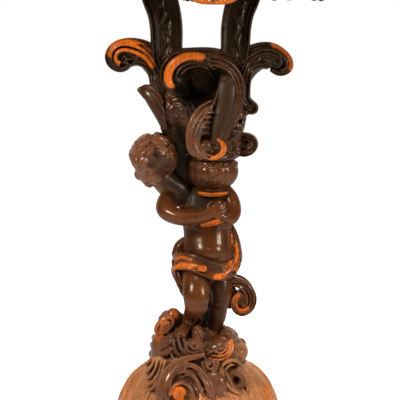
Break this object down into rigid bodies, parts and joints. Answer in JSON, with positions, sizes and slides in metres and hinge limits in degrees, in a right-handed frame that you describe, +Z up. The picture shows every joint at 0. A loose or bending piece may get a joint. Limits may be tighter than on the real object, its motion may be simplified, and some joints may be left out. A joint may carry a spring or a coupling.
{
  "type": "torchere candle stand",
  "caption": "Carved walnut torchere stand: a putto on a rocaille base holds a fluted urn, a leafy trunk and two uprights under a round top with a carved apron.",
  "frame": {"origin": "centre of the plinth's underside, where the stand's axis meets the floor", "axes": "+Z up along the stand's axis, -Y the front that the figure's belly faces, +X to the right seen from the front"},
  "size_m": [0.5, 0.5, 0.93],
  "materials": {
    "dark_walnut": "dark stained, glossy varnish",
    "pale_walnut": "worn stain, satin varnish",
    "honey": "rubbed honey varnish",
    "beech": "bare",
    "steel": "plain screw"
  },
  "bodies": {
    "root": {"plinth_screw_1": "steel", "plinth_screw_2": "steel", "plinth_screw_3": "steel", "cleat_screw_1": "steel", "cleat_screw_2": "steel", "cleat_screw_3": "steel", "cleat_screw_4": "steel", "base_dowel": "beech", "figure_dowel": "beech", "urn_dowel": "beech", "trunk_dowel": "beech", "plinth": "dark_walnut", "base_dome": "pale_walnut", "rock_mound": "pale_walnut", "leg_stump": "dark_walnut", "torso": "dark_walnut", "urn": "dark_walnut", "trunk": "dark_walnut", "top_board": "dark_walnut", "top_cleat": "dark_walnut", "left_upright": "dark_walnut", "right_upright": "dark_walnut", "left_scroll": "dark_walnut", "right_scroll": "dark_walnut", "crown_scroll_left": "honey", "crown_scroll_right": "dark_walnut", "front_leaf": "dark_walnut", "left_leaf": "dark_walnut", "back_leaf": "dark_walnut", "small_scroll": "dark_walnut", "head": "dark_walnut", "right_leg": "dark_walnut", "left_leg": "dark_walnut", "right_arm": "dark_walnut", "left_arm": "dark_walnut", "waist_drapery": "dark_walnut", "drapery_fall": "dark_walnut", "side_drapery": "dark_walnut", "drapery_scroll": "honey", "sash": "honey", "rock_left": "pale_walnut", "rock_front_shell": "pale_walnut", "rock_right_rings": "pale_walnut", "rock_right_knob": "pale_walnut", "base_scroll_front": "pale_walnut", "base_scroll_right": "honey", "base_scroll_back": "pale_walnut", "base_leaf_left": "pale_walnut", "base_shell_front": "pale_walnut", "apron_shell_1": "dark_walnut", "apron_scroll_1": "dark_walnut", "apron_shell_2": "dark_walnut", "apron_scroll_2": "dark_walnut", "apron_shell_3": "dark_walnut", "apron_scroll_3": "dark_walnut", "apron_shell_4": "dark_walnut", "apron_scroll_4": "dark_walnut"}
  },
  "joints": []
}
